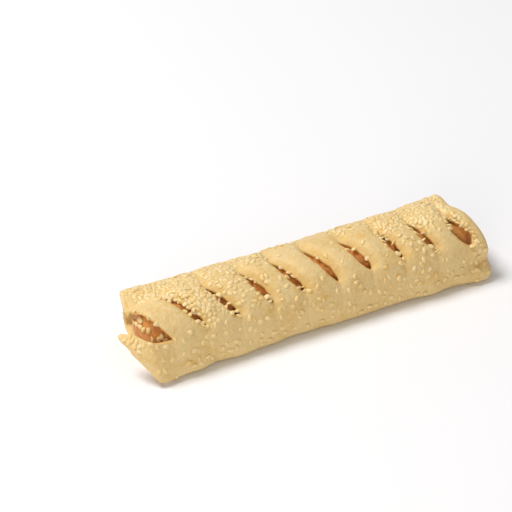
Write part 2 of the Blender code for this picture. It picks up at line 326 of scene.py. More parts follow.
def flap_point(fraction, theta):
    """A point of the dropped flap, from its outer edge at 0 to its cut edge at 1."""
    along = slit_progress(theta)
    low = SLIT_LOW + SLIT_LOW_DIPS[0]
    height, place, spread = FLAP_SHOULDER
    lift = along**FLAP_CURL + height * bell(along, place, spread)
    outer_angle = low + (FLAP_TIP - low) * along
    cut_angle = low + (FLAP_TIP - low) * lift
    outer = -SLEEVE_LENGTH / 2 - flap_reach(outer_angle)
    root = guide_line(1, SLIT_LOW)
    tip = -SLEEVE_LENGTH / 2 - FLAP_REACH + FLAP_TIP_WIDTH
    x = outer + (root + (tip - root) * along - outer) * fraction
    sag = FLAP_SAG * math.sin(math.pi * fraction) * (1 - along)
    turned = outer_angle + (cut_angle - outer_angle) * fraction - sag
    return roll_point(x, turned, section_radius(turned, x) * folded(x))


def shut(number, theta):
    """1 where a cut's lips meet, 0 where they stand well apart."""
    return 1 - min(1.0, opening(number, theta) / (OPEN_SHARE * max(SLIT_GAPES) / 2))


def crease(number, theta):
    """1 along a cut, fading along the groove that runs on from each of its ends."""
    if not 2 <= number <= CUTS:
        return 0.0
    if in_slit_zone(theta):
        end_share = LOW_END_SHARE + (TOP_END_SHARE - LOW_END_SHARE) * slit_progress(theta)
        return 1 - (1 - end_share) * shut(number, theta)
    past_top = (theta - SLIT_TOP) % TURN / TOP_CREASE
    short_of_low = (SLIT_LOW - theta) % TURN / LOW_CREASE
    return max(TOP_END_SHARE * fade(past_top), LOW_END_SHARE * fade(short_of_low))


def strip_relief(strip, fraction, theta, turned):
    """How far the dough stands above its plain section: crown, left shoulder, right edge."""
    left = crease(strip, theta)
    right = crease(strip + 1, theta) * shut(strip + 1, theta)
    height = -SHOULDER_DROP * left * fade(fraction / SHOULDER_WIDTH)
    height += RIM_LIFT * left * fade(fraction / RIM_WIDTH)
    height -= (SHOULDER_DROP - RIM_LIFT) * right * fade((1 - fraction) / EDGE_WIDTH)
    if 0 < strip < CUTS and 0 < fraction < 1:
        crown = math.sin(math.pi * fraction**CROWN_SKEW) ** CROWN_BLUNTNESS
        height += STRIP_PUFF * crown * bell(angle_gap(turned, PUFF_ANGLE), 0, PUFF_SPREAD)
    return height


def torn(number, side, theta):
    """How far a lip stands out or back where the cutter has torn it rather than cut it."""
    place = Vector((number, side / 2, theta * SAUSAGE_RADIUS / TORN_LENGTH))
    room = min(1.0, opening(number, theta) / MM)
    return TORN_DEPTH * room * noise.noise(place)


def rounding(inside, radius):
    """Depth of a quarter round of that radius, at a distance inside the edge."""
    past = min(1.0, max(0.0, 1 - inside / radius))
    return radius * (1 - math.sqrt(1 - past**2))


def rolled_in(x, theta):
    """How far the sheet's edge turns inwards at an open end, which rounds it like a bead."""
    depth = rounding(end_line(theta, 1) - x, RIGHT_EDGE_ROLL)
    if SLIT_TOP <= theta < LEFT_ROLL_END:
        depth += rounding(x - end_line(theta, -1), LEFT_EDGE_ROLL)
    return depth


def dough_point(strip, fraction, theta):
    """A point of the sheet's outside, fraction of the way across a strip between two guides."""
    left, right = guide_line(strip, theta), guide_line(strip + 1, theta)
    x = left + (right - left) * fraction
    x += opening(strip, theta) * bell(fraction, 0, GAPE_SPREAD)
    x -= opening(strip + 1, theta) * bell(fraction, 1, GAPE_SPREAD)
    x += torn(strip, 1, theta) * fade(fraction / TORN_WIDTH)
    x += torn(strip + 1, -1, theta) * fade((1 - fraction) / TORN_WIDTH)
    turned = theta + dip(strip, fraction, theta)
    radius = section_radius(turned, x) + end_bulge(turned, x) - rolled_in(x, theta)
    if math.cos(turned) > 0:
        radius *= folded(x)
    return roll_point(x, turned, radius + strip_relief(strip, fraction, theta, turned))


def sheet_columns():
    """(strip, fraction) of each column; the last one is the right end."""
    columns = [(0, fraction) for fraction in FLAP_FRACTIONS]
    for strip in range(1, CUTS):
        columns += [(strip, fraction) for fraction in STRIP_FRACTIONS]
    columns += [(CUTS, fraction) for fraction in END_FRACTIONS]
    return columns + [(CUTS, 1.0)]


def corner_key(columns, column, row, strip, face_row, top_row):
    """Names a corner of the quad at (strip, face_row), telling the two lips of a slit apart."""
    below_first = strip == 0 and face_row < top_row
    if below_first and 0 < row <= top_row:
        return (column, row, "flap")
    on_guide = columns[column][1] == 0.0 and 1 < columns[column][0] <= CUTS
    if on_guide and 0 < row < top_row and strip < columns[column][0]:
        return (column, row, "left lip")
    return (column, row, "")


def key_point(rows, columns, key):
    """Where the corner with this key lies."""
    column, row, side = key
    strip, fraction = columns[column]
    if side == "flap":
        return flap_point(fraction if strip == 0 else 1.0, rows[row])
    if side == "left lip":
        return dough_point(strip - 1, 1.0, rows[row])
    return dough_point(strip, fraction, rows[row])


def sheet_faces(rows, columns):
    """The sheet's quads as lists of corner keys. A key is (column, row, torn side)."""
    top_row = rows.index(SLIT_TOP)
    count = len(rows)
    for c in range(len(columns) - 1):
        for r in range(count):
            strip = columns[c][0]
            corners = ((c, r), (c, (r + 1) % count), (c + 1, (r + 1) % count), (c + 1, r))
            yield [corner_key(columns, column, row, strip, r, top_row) for column, row in corners]


def inner_point(vert, rim_distance, on_cut):
    """Where the inside of the sheet lies under a point of its outside; cuts go straight in."""
    middle_thickness = (LIP_THICKNESS + DOUGH_THICKNESS) / 2
    thickness = (LIP_THICKNESS, middle_thickness, DOUGH_THICKNESS)[rim_distance]
    outward = away_from_line(vert.co) if on_cut else vert.normal
    point = clear_of_sausage(vert.co - outward * thickness, 0.0)
    if vert.co.z <= 0:
        point.z = BASE_THICKNESS
    return point


def rim_distances(bm):
    """0 for a vertex on the sheet's boundary, 1 for its neighbours, 2 for all others."""
    rim = {vert for vert in bm.verts if vert.is_boundary}
    near = {edge.other_vert(vert) for vert in rim for edge in vert.link_edges}
    return {vert: 0 if vert in rim else 1 if vert in near else 2 for vert in bm.verts}


def on_lip(strip, fraction, theta):
    """1 on the cut edges of the slashes, 0 elsewhere."""
    return 1.0 if fraction == 0 and 0 < strip <= CUTS and in_slit_zone(theta) else 0.0


def sleeve_cage():
    """The slashed sheet, thickened inwards and closed along its lips and ends."""
    rows, columns = row_angles(), sheet_columns()
    bm = bmesh.new()
    outside = {}
    crease_shade_layer = bm.verts.layers.float.new("crease")
    outer_layer = bm.verts.layers.float.new("outer")
    cut_layer = bm.verts.layers.float.new("cut")
    for keys in sheet_faces(rows, columns):
        for key in keys:
            if key not in outside:
                vert = bm.verts.new(key_point(rows, columns, key))
                strip, fraction = columns[key[0]]
                theta = rows[key[1]]
                # How deep each point lies in the groove beside a cut; it only sets the painted shade
                # there.
                left_groove = crease(strip, theta) * fade(fraction / SHOULDER_WIDTH)
                right_groove = crease(strip + 1, theta) * fade((1 - fraction) / EDGE_WIDTH)
                vert[crease_shade_layer] = max(left_groove, right_groove)
                vert[outer_layer] = 1.0
                # The cut edges of the slashes, which go straight in and carry painted shade.
                vert[cut_layer] = on_lip(strip, fraction, theta)
                outside[key] = vert
        bm.faces.new([outside[key] for key in reversed(keys)])
    bm.normal_update()
    distances = rim_distances(bm)
    points = {vert: inner_point(vert, distances[vert], vert[cut_layer]) for vert in bm.verts}
    rim_edges = [edge for edge in bm.edges if edge.is_boundary]
    sheet, sheet_verts = list(bm.faces), list(bm.verts)
    inside = {vert: bm.verts.new(point) for vert, point in points.items()}
    for vert in sheet_verts:
        inside[vert][cut_layer] = vert[cut_layer]
    for face in sheet:
        bm.faces.new([inside[vert] for vert in reversed(face.verts)])
    for edge in rim_edges:
        loop = edge.link_loops[0]
        start, end = loop.vert, loop.link_loop_next.vert
        bm.faces.new((end, start, inside[start], inside[end]))
    mesh = bpy.data.meshes.new("sleeve_cage")
    bm.to_mesh(mesh)
    bm.free()
    return mesh


def show(name, mesh):
    """A new object in the scene with this mesh, shaded smooth."""
    mesh.shade_smooth()
    made = bpy.data.objects.new(name, mesh)
    bpy.context.scene.collection.objects.link(made)
    return made


def subdivided(name, mesh, levels):
    """The mesh after Catmull-Clark subdivision, with nothing left to evaluate."""
    carrier = show(name, mesh)
    smoother = carrier.modifiers.new("smoother", "SUBSURF")
    smoother.levels = smoother.render_levels = levels
    evaluated = carrier.evaluated_get(bpy.context.evaluated_depsgraph_get())
    fine = bpy.data.meshes.new_from_object(evaluated)
    bpy.data.objects.remove(carrier)
    fine.name = name
    return fine


def points_and_normals(mesh):
    """Arrays of the mesh's points and of the directions that they face."""
    points = np.zeros(len(mesh.vertices) * 3)
    normals = np.zeros(len(mesh.vertices) * 3)
    mesh.vertices.foreach_get("co", points)
    mesh.vertex_normals.foreach_get("vector", normals)
    return points.reshape(-1, 3), normals.reshape(-1, 3)


LUMP_OFFSET = (1, 1.7, 2.3)


def unevenness(points, lumps):
    """Sum of soft noises at each point. Lumps are (size, height, seed) in metres."""
    heights = np.zeros(len(points))
    for size, height, seed in lumps:
        offset = Vector([seed * factor for factor in LUMP_OFFSET])
        heights += [height * noise.noise(Vector(point) / size + offset) for point in points]
    return heights


DOUGH_LUMPS = ((26 * MM, 0.55 * MM, 3), (9 * MM, 0.3 * MM, 11), (3.2 * MM, 0.12 * MM, 23))
FLAT_BELOW = 2.5 * MM
SLEEVE_LEVELS = 1

pastry_mesh = subdivided("pastry_sleeve", sleeve_cage(), SLEEVE_LEVELS)
dough_points, dough_normals = points_and_normals(pastry_mesh)
outer = np.zeros(len(dough_points))
pastry_mesh.attributes["outer"].data.foreach_get("value", outer)
push = unevenness(dough_points, DOUGH_LUMPS) * outer
dough_normals[:, 2] *= np.clip(dough_points[:, 2] / FLAT_BELOW, 0, 1)
dough_points += dough_normals * push[:, None] + np.array(ROLL_MIDDLE)
dough_points[:, 2] = np.maximum(dough_points[:, 2], 0)
pastry_mesh.vertices.foreach_set("co", dough_points.ravel())
pastry_mesh.update()
sleeve = show("pastry_sleeve", pastry_mesh)


class Wire:
    """One socket of a material, so that sums on its values are written as sums."""

    def __init__(self, tree, socket=None):
        self.tree = tree
        self.socket = socket

    def node(self, kind, settings=(), inputs=(), output=0):
        """A new node: its settings are made first, then the values or links of its sockets."""
        made = self.tree.nodes.new(kind)
        for name, value in dict(settings).items():
            setattr(made, name, value)
        for name, value in dict(inputs).items():
            if isinstance(value, Wire):
                self.tree.links.new(value.socket, made.inputs[name])
            else:
                made.inputs[name].default_value = value
        return Wire(self.tree, made.outputs[output])

    def maths(self, operation, first, second):
        """One Math node."""
        return self.node("ShaderNodeMath", {"operation": operation}, {0: first, 1: second})

    def __add__(self, other):
        return self.maths("ADD", self, other)

    def __rsub__(self, other):
        return self.maths("SUBTRACT", other, self)

    def __mul__(self, other):
        return self.maths("MULTIPLY", self, other)

    __radd__ = __add__
    __rmul__ = __mul__

    def between(self, low, high):
        """0 where the value is at low or less, 1 where it is at high or more, smooth between."""
        settings = {"interpolation_type": "SMOOTHSTEP"}
        inputs = {"Value": self, "From Min": low, "From Max": high}
        return self.node("ShaderNodeMapRange", settings, inputs)

    def tint(self, colour, towards):
        """The colour, moved towards another by this value."""
        inputs = {0: self, 6: colour, 7: towards}
        return self.node("ShaderNodeMix", {"data_type": "RGBA"}, inputs, output=2)

    def mottle(self, size, detail, roughness):
        """Soft noise in the piece's own space, with patches of about this size."""
        where = self.node("ShaderNodeTexCoord", output="Object")
        inputs = {"Vector": where, "Scale": 1 / size, "Detail": detail, "Roughness": roughness}
        return self.node("ShaderNodeTexNoise", {"noise_dimensions": "3D"}, inputs)

    def blotches(self, size, detail, roughness, low, high):
        """Patches of mottle, which start where it passes low and are full where it is at high."""
        return self.mottle(size, detail, roughness).between(low, high)

    def stored(self, name):
        """A value kept on the mesh under this name."""
        return self.node("ShaderNodeAttribute", {"attribute_name": name}, output="Fac")


def new_finish(name, constants):
    """A material, its shader, and the wire that its nodes start from."""
    made = bpy.data.materials.new(name)
    made.use_nodes = True
    shader = made.node_tree.nodes["Principled BSDF"]
    for socket, value in constants.items():
        shader.inputs[socket].default_value = value
    return made, shader, Wire(made.node_tree)


def plug(shader, socket, wire):
    """Lets a wire feed a socket of the shader."""
    wire.tree.links.new(wire.socket, shader.inputs[socket])


def relief_on(shader, height, depth):
    """Fine relief, as a bump that rises by that depth in metres for each 1 of the height."""
    inputs = {"Height": height, "Distance": depth, "Strength": 1.0}
    plug(shader, "Normal", height.node("ShaderNodeBump", inputs=inputs))


DOUGH_PALE = (0.78, 0.57, 0.255, 1)
DOUGH_BUTTER = (0.74, 0.49, 0.165, 1)
DOUGH_CREAM = (0.84, 0.65, 0.34, 1)
# A darker, warmer tone used as painted shade: in the grooves beside the cuts, along the lips of the
# slashes and on the sheet's inside.
DOUGH_PAINTED_SHADE = (0.72, 0.43, 0.11, 1)
DOUGH_SPOT = (0.72, 0.43, 0.08, 1)
# Blotches as (size, detail, roughness, start, full), and reliefs as (size, detail, roughness).
DOUGH_PATCHES = (13 * MM, 4.0, 0.5, 0.38, 0.66)
DOUGH_GRAIN = (2.0 * MM, 4.0, 0.7, 0.38, 0.64)
FAT_SPOTS = (6 * MM, 1.0, 0.5, 0.66, 0.74)
PATCH_TINT = 0.75
GRAIN_TINT = 0.6
CREASE_PAINTED_SHADE = 0.6
INSIDE_PAINTED_SHADE = 0.35
CUT_PAINTED_SHADE = 0.7
SPOT_TINT = 0.5
DOUGH_ROUGHNESS = 0.5
GRAIN_ROUGHNESS = 0.25
FINE_RELIEF = (1.2 * MM, 4.0, 0.6)
FINE_RELIEF_SHARE = 0.6
SOFT_RELIEF = (4 * MM, 3.0, 0.5)
DOUGH_RELIEF_DEPTH = 0.6 * MM


def raw_dough():
    """Raw puff pastry: cream, with buttery patches and a few fat spots. Painted shade darkens and
    warms its grooves, the lips of its slashes and its inside.
    """
    made, shader, wire = new_finish(
        "raw_pastry",
        {
            "Subsurface Weight": 0.15,
            "Subsurface Radius": (1.0, 0.65, 0.3),
            "Subsurface Scale": 0.0012,
            "Specular IOR Level": 0.35,
        },
    )
    grain = wire.blotches(*DOUGH_GRAIN)
    colour = (wire.blotches(*DOUGH_PATCHES) * PATCH_TINT).tint(DOUGH_PALE, DOUGH_BUTTER)
    colour = (grain * GRAIN_TINT).tint(colour, DOUGH_CREAM)
    # Painted shade in the grooves beside the cuts.
    colour = (wire.stored("crease") * CREASE_PAINTED_SHADE).tint(colour, DOUGH_PAINTED_SHADE)
    # Painted shade over the sheet's inside.
    colour = ((1 - wire.stored("outer")) * INSIDE_PAINTED_SHADE).tint(colour, DOUGH_PAINTED_SHADE)
    # Painted shade and painted warm bounce light from the sausage along the cut lips of the slashes.
    colour = (wire.stored("cut") * CUT_PAINTED_SHADE).tint(colour, DOUGH_PAINTED_SHADE)
    colour = (wire.blotches(*FAT_SPOTS) * SPOT_TINT).tint(colour, DOUGH_SPOT)
    plug(shader, "Base Color", colour)
    plug(shader, "Roughness", DOUGH_ROUGHNESS + GRAIN_ROUGHNESS * grain)
    relief = wire.mottle(*FINE_RELIEF) * FINE_RELIEF_SHARE + wire.mottle(*SOFT_RELIEF)
    relief_on(shader, relief, DOUGH_RELIEF_DEPTH)
    return made


sleeve.data.materials.clear()
sleeve.data.materials.append(raw_dough())
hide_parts("pastry")
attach(sleeve, "root")

# The frankfurter. A smoked, skinned sausage with round ends, smooth and a little greasy. It lies
# in the sleeve from mouth to mouth, and shows in the slashes and at the left mouth.

SAUSAGE_SIDES = 96
SAUSAGE_CAP_RINGS = 22
LEFT_END_BLUNTNESS = 2.0
RIGHT_END_BLUNTNESS = 2.8
SAUSAGE_RINGS = 150
POLE_MERGE = 0.01 * MM
SKIN_SWELL = 0.45 * MM
SAUSAGE_LUMPS = ((30 * MM, 0.25 * MM, 5), (6 * MM, 0.1 * MM, 17), (2 * MM, 0.05 * MM, 29))


def sausage_end(bluntness):
    """(how far out, radius) from the end's pole to where it is full; 2 makes it a half ball."""
    outline = []
    for i in range(SAUSAGE_CAP_RINGS):
        out = math.cos(math.pi / 2 * i / SAUSAGE_CAP_RINGS)
        radius = SAUSAGE_RADIUS * (1 - out**bluntness) ** (1 / bluntness)
        outline.append((SAUSAGE_HALF_LENGTH - SAUSAGE_RADIUS * (1 - out), radius))
    return outline


def sausage_skin():
    """A straight sausage with round ends, spun about its own length."""
    profile = [(-out, radius) for out, radius in sausage_end(LEFT_END_BLUNTNESS)]
    straight = SAUSAGE_HALF_LENGTH - SAUSAGE_RADIUS
    for i in range(SAUSAGE_RINGS + 1):
        profile.append((-straight + 2 * straight * i / SAUSAGE_RINGS, SAUSAGE_RADIUS))
    profile += reversed(sausage_end(RIGHT_END_BLUNTNESS))
    bm = bmesh.new()
    chain = [bm.verts.new((x, 0, radius)) for x, radius in profile]
    edges = [bm.edges.new(pair) for pair in zip(chain, chain[1:])]
    bmesh.ops.spin(
        bm,
        geom=chain + edges,
        axis=(1, 0, 0),
        cent=(0, 0, 0),
        angle=TURN,
        steps=SAUSAGE_SIDES,
        use_merge=True,
    )
    bmesh.ops.remove_doubles(bm, verts=bm.verts, dist=POLE_MERGE)
    bmesh.ops.recalc_face_normals(bm, faces=bm.faces)
    mesh = bpy.data.meshes.new("frankfurter")
    bm.to_mesh(mesh)
    bm.free()
    return mesh


frankfurter_mesh = sausage_skin()
skin_points, skin_normals = points_and_normals(frankfurter_mesh)
# Distance in from the nearer end, which places the painted shade on the middle.
from_end = SAUSAGE_HALF_LENGTH - np.abs(skin_points[:, 0])
frankfurter_mesh.attributes.new("from_end", "FLOAT", "POINT").data.foreach_set("value", from_end)
swell = SKIN_SWELL + unevenness(skin_points, SAUSAGE_LUMPS)
skin_points += skin_normals * swell[:, None]
skin_points += np.array((sausage_low + sausage_high) / 2)
frankfurter_mesh.vertices.foreach_set("co", skin_points.ravel())
frankfurter_mesh.update()
frankfurter = show("frankfurter", frankfurter_mesh)

SKIN_ORANGE = (0.80, 0.37, 0.105, 1)
# The middle's colour is painted shade: the skin turns darker and redder from 14 mm to 45 mm in from
# each end, under the dough.
SKIN_PAINTED_SHADE = (0.62, 0.20, 0.04, 1)
SKIN_DARK = (0.52, 0.18, 0.038, 1)
SKIN_PALE = (0.83, 0.45, 0.15, 1)
PAINTED_SHADE_FROM = 14 * MM
PAINTED_SHADE_FULL = 45 * MM
SKIN_BLOTCHES = (5 * MM, 4.0, 0.6, 0.4, 0.62)
SKIN_FLECKS = (1.8 * MM, 3.0, 0.5, 0.42, 0.66)
BLOTCH_TINT = 0.75
FLECK_TINT = 0.45
SKIN_ROUGHNESS = 0.42
FLECK_ROUGHNESS = 0.2
SKIN_RELIEF = (1.3 * MM, 3.0, 0.5)
SKIN_RELIEF_DEPTH = 0.12 * MM


def smoked_skin():
    """Smoked skin, mottled and greasy: orange at the ends, with painted shade making it darker and
    redder where the dough covers it.
    """
    made, shader, wire = new_finish(
        "smoked_skin",
        {
            "Subsurface Weight": 0.1,
            "Subsurface Radius": (1.0, 0.35, 0.15),
            "Subsurface Scale": 0.001,
            "Specular IOR Level": 0.2,
        },
    )
    flecks = wire.blotches(*SKIN_FLECKS)
    # Painted shade towards the middle, under the dough.
    painted_middle_shade = wire.stored("from_end").between(PAINTED_SHADE_FROM, PAINTED_SHADE_FULL)
    colour = painted_middle_shade.tint(SKIN_ORANGE, SKIN_PAINTED_SHADE)
    colour = (wire.blotches(*SKIN_BLOTCHES) * BLOTCH_TINT).tint(colour, SKIN_DARK)
    colour = (flecks * FLECK_TINT).tint(colour, SKIN_PALE)
    plug(shader, "Base Color", colour)
    plug(shader, "Roughness", SKIN_ROUGHNESS + FLECK_ROUGHNESS * flecks)
    relief_on(shader, wire.mottle(*SKIN_RELIEF), SKIN_RELIEF_DEPTH)
    return made


frankfurter.data.materials.append(smoked_skin())
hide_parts("sausage")
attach(frankfurter, "root")

# The sesame seeds. Hulled white seeds about 3.3 mm long, strewn by hand on the moist dough and
# pressed in. They lie thick over the left shoulder, the third strip and the right end, and thin
# elsewhere. Some cling to the lips of the slashes and to the sausage's tip.

SEED_LENGTH = 3.3 * MM
SEED_WIDTH = 2.15 * MM
SEED_DEPTH = 0.85 * MM
SEED_RINGS = 6
SEED_SIDES = 8
SEED_POINTEDNESS = 0.8
SEED_FULLNESS = 0.75
SEED_SIZE_SPREAD = 0.12
STREWING_SEED = 7
rng = random.Random(STREWING_SEED)


def seed_shape():
    """Points and faces of one seed lying flat: a drop, pointed at +X and round at -X."""
    points = [(-SEED_LENGTH / 2, 0, 0)]
    for i in range(1, SEED_RINGS + 1):
        share = i / (SEED_RINGS + 1)
        half = math.sin(math.pi * share**SEED_POINTEDNESS) ** SEED_FULLNESS / 2
        x = SEED_LENGTH * (share - 0.5)
        for j in range(SEED_SIDES):
            turn = TURN * j / SEED_SIDES
            points.append((x, SEED_WIDTH * half * math.cos(turn), SEED_DEPTH * half * math.sin(turn)))
    points.append((SEED_LENGTH / 2, 0, 0))
    faces = []
    last = len(points) - 1
    end = 1 + (SEED_RINGS - 1) * SEED_SIDES
    for j in range(SEED_SIDES):
        k = (j + 1) % SEED_SIDES
        faces.append((0, 1 + k, 1 + j))
        for i in range(SEED_RINGS - 1):
            a, b = 1 + i * SEED_SIDES, 1 + (i + 1) * SEED_SIDES
            faces.append((a + j, a + k, b + k, b + j))
        faces.append((end + j, end + k, last))
    return np.array(points), faces


def bvh_of(thing):
    """The object's surface in a form that answers where its nearest spot is."""
    graph = bpy.context.evaluated_depsgraph_get()
    return BVHTree.FromObject(thing, graph)


dough_surface = bvh_of(sleeve)
skin_surface = bvh_of(frankfurter)
laid_seeds = []
taken = {}
CELL = 4 * MM


def cell_of(point):
    """The cube of space that a point lies in; a cube is wider than any spacing of the seeds."""
    return tuple(math.floor(value / CELL) for value in point)


def too_close(point, spacing):
    """True if a seed already lies nearer to the point than spacing."""
    x, y, z = cell_of(point)
    for i, j, k in product((-1, 0, 1), repeat=3):
        for other in taken.get((x + i, y + j, z + k), ()):
            if (other - point).length < spacing:
                return True
    return False


def put_seed(spot, normal, turn, sunk, roll, pitch, plumpness=1.0):
    """Puts one seed at a spot, its flat side facing the normal, sunk by a share of its depth."""
    size = 1 + rng.gauss(0, SEED_SIZE_SPREAD)
    rise = normal * SEED_DEPTH * plumpness * (0.5 - sunk)
    facing = normal.to_track_quat("Z", "Y").to_matrix().to_4x4()
    lean = Matrix.Rotation(rng.gauss(0, pitch), 4, "Y") @ Matrix.Rotation(rng.gauss(0, roll), 4, "X")
    where = Matrix.Translation(spot + rise) @ facing @ Matrix.Rotation(turn, 4, "Z") @ lean
    squash = Matrix.Diagonal((size, size, size * plumpness, 1))
    laid_seeds.append((where @ squash, rng.random()))
    taken.setdefault(cell_of(spot), []).append(spot)


def lay_seed(surface, point, sunk, tilt, plumpness=1.0):
    """Lays one seed, turned at random, on the nearest spot of a surface."""
    spot, normal, _, _ = surface.find_nearest(point)
    put_seed(spot, normal, rng.uniform(0, TURN), sunk, tilt, tilt, plumpness)


def sheet_spot(across, theta):
    """A place on the sleeve: across counts guide lines from the left, theta runs round it."""
    strip = min(CUTS, int(across))
    return dough_point(strip, across - strip, theta) + ROLL_MIDDLE


# Each drift as (first guide, last guide, low angle, high angle, seeds, least spacing in mm,
# share of a seed's depth that is sunk). Guide 0 is the left end, 1 to 10 are the slashes.
SEED_DRIFTS = (
    (0.8, 1.0, 110, 150, 20, 1.8, 0.5),
    (1.0, 2.0, 108, 150, 110, 1.6, 0.6),
    (1.3, 2.0, 95, 108, 34, 1.6, 0.6),
    (1.75, 2.0, 84, 96, 8, 1.8, 0.5),
    (2.05, 3.0, 52, 90, 105, 1.7, 0.6),
    (2.0, 3.0, 90, 150, 130, 1.7, 0.6),
    (2.1, 2.6, 40, 55, 8, 2.2, 0.5),
    (3.1, 4.0, 84, 150, 110, 1.8, 0.6),
    (3.1, 4.0, 46, 86, 22, 2.4, 0.55),
    (4.0, 5.0, 94, 150, 60, 2.0, 0.55),
    (4.2, 5.0, 50, 92, 8, 2.5, 0.55),
    (5.0, 7.0, 106, 150, 45, 2.2, 0.55),
    (5.0, 8.0, 50, 100, 10, 3.0, 0.55),
    (7.0, 8.0, 98, 150, 40, 2.0, 0.55),
    (8.1, 9.0, 80, 150, 115, 1.8, 0.6),
    (8.2, 9.0, 46, 78, 9, 2.5, 0.4),
    (9.05, 10.0, 84, 150, 130, 1.7, 0.6),
    (9.1, 9.5, 68, 86, 12, 1.8, 0.5),
    (10.0, 10.6, 88, 118, 50, 1.8, 0.6),
    (10.0, 10.75, 118, 150, 40, 1.9, 0.6),
    (10.06, 10.35, 40, 88, 34, 1.6, 0.5),
    (1.0, 10.85, -4, 44, 75, 2.6, 0.36),
    (0.3, 10.85, -4, 34, 60, 2.4, 0.55),
    (0.2, 10.8, 150, 188, 220, 2.4, 0.55),
)

TRIES_PER_SEED = 4
SUNK_SPREAD = 0.07
FLAT_LEAN = 0.1
LOOSE_PLUMPNESS = 1.6
PRESSED_THINNER = 1.3


def plumpness_at(sunk):
    """A seed that is pressed in less deep stands plumper."""
    return LOOSE_PLUMPNESS - PRESSED_THINNER * sunk


for first, last, low, high, count, spacing, sunk in SEED_DRIFTS:
    left_over = count
    for _ in range(count * TRIES_PER_SEED):
        spot = sheet_spot(rng.uniform(first, last), math.radians(rng.uniform(low, high)))
        if left_over and not too_close(spot, spacing * MM):
            depth = sunk + rng.gauss(0, SUNK_SPREAD)
            lay_seed(dough_surface, spot, depth, FLAT_LEAN, plumpness_at(sunk))
            left_over -= 1

# Seeds that lie across a lip of a slash and reach out over its gap:
# (slash, low and high end of the stretch as shares of the slash, tries).
LIP_SEEDS = (
    (1, 0.1, 0.95, 6),
    (2, 0.0, 0.25, 9),
    (2, 0.3, 1.0, 18),
    (3, 0.0, 0.2, 4),
    (3, 0.3, 1.0, 14),
    (4, 0.05, 0.2, 3),
    (4, 0.55, 0.8, 3),
    (5, 0.0, 0.15, 3),
    (5, 0.4, 0.9, 4),
    (6, 0.6, 0.75, 2),
    (7, 0.35, 0.75, 3),
    (8, 0.0, 0.3, 5),
    (8, 0.45, 1.0, 30),
    (9, 0.0, 0.2, 4),
    (9, 0.4, 0.8, 4),
    (10, 0.0, 0.15, 5),
    (10, 0.6, 1.0, 20),
)
LIP_SEED_SPACING = 1.2 * MM
LIP_OVERHANG = 0.9 * MM
LIP_SEED_HOLD = 0.35 * MM
LIP_SEED_TURN = 0.4
LIP_SEED_SUNK = (0.1, 0.5)
LIP_SEED_ROLL = 0.9
LIP_SEED_PITCH = 0.3


def lip_seed(number, theta):
    """Puts a seed across one lip of a slash, if there is room for it."""
    lips = [dough_point(number, 0.0, theta)]
    if number > 1:
        lips.append(dough_point(number - 1, 1.0, theta))
    side = rng.randrange(len(lips))
    overhang = rng.uniform(0, LIP_OVERHANG) * (1 if side else -1)
    spot = lips[side] + Vector((overhang, 0, 0))
    outward = away_from_line(spot)
    spot += ROLL_MIDDLE
    held = dough_surface.find_nearest(spot)[0]
    stray = spot - held
    spot = held + stray.normalized() * min(stray.length, LIP_SEED_HOLD)
    if not too_close(spot, LIP_SEED_SPACING):
        turn = rng.choice((0, math.pi)) + rng.gauss(0, LIP_SEED_TURN)
        sunk = rng.uniform(*LIP_SEED_SUNK)
        put_seed(spot, outward, turn, sunk, LIP_SEED_ROLL, LIP_SEED_PITCH)


for number, low, high, tries in LIP_SEEDS:
    for _ in range(tries):
        lip_seed(number, slit_angle(rng.uniform(low, high)))

# Seeds on the dropped flap; across and along it as shares of its width and of the slash.
FLAP_SEED_TRIES = 46
FLAP_SEED_ACROSS = (0.15, 0.9)
FLAP_SEED_ALONG = (0, 0.85)
FLAP_SEED_SPACING = 1.9 * MM
FLAP_SEED_SUNK = 0.45
FLAP_SEED_LEAN = 0.12

for _ in range(FLAP_SEED_TRIES):
    across = rng.uniform(*FLAP_SEED_ACROSS)
    along = slit_angle(rng.uniform(*FLAP_SEED_ALONG))
    spot = flap_point(across, along) + ROLL_MIDDLE
    if not too_close(spot, FLAP_SEED_SPACING):
        lay_seed(dough_surface, spot, FLAP_SEED_SUNK, FLAP_SEED_LEAN)

# Seeds on the sausage's tip: (back from the tip in mm, angle round the sausage in degrees).
TIP_SEEDS = (
    (0.9, 117),
    (1.0, 84),
    (2.6, 77),
    (1.6, 58),
    (2.3, 41),
    (3.9, 34),
    (4.5, 9),
    (0.5, -40),
    (1.3, -23),
    (7.0, 10),
    (8.4, 15),
    (9.9, 5),
)
TIP_SEED_SUNK = 0.1
TIP_SEED_LEAN = 0.15
TIP_SEED_PLUMPNESS = 1.4

for back, angle in TIP_SEEDS:
    angle = math.radians(angle)
    across = SAUSAGE_RADIUS * math.sqrt(max(0, 1 - (1 - back * MM / SAUSAGE_RADIUS) ** 2))
    out = Vector((0, -math.cos(angle), math.sin(angle))) * across
    spot = Vector((SAUSAGE_LEFT + back * MM, SAUSAGE_SIDE, SAUSAGE_HEIGHT)) + out + ROLL_MIDDLE
    lay_seed(skin_surface, spot, TIP_SEED_SUNK, TIP_SEED_LEAN, TIP_SEED_PLUMPNESS)


def joined_seeds():
    """All the seeds as one mesh, each with its own tone kept on its points."""
    shape, faces = seed_shape()
    points, polygons, tones = [], [], []
    for where, tone in laid_seeds:
        start = len(points) * len(shape)
        points.append(shape @ np.array(where.to_3x3()).T + np.array(where.translation))
        polygons += [tuple(start + corner for corner in face) for face in faces]
        tones += [tone] * len(shape)
    mesh = bpy.data.meshes.new("sesame_seeds")
    mesh.from_pydata(np.concatenate(points).tolist(), [], polygons)
    mesh.attributes.new("tone", "FLOAT", "POINT").data.foreach_set("value", tones)
    return mesh


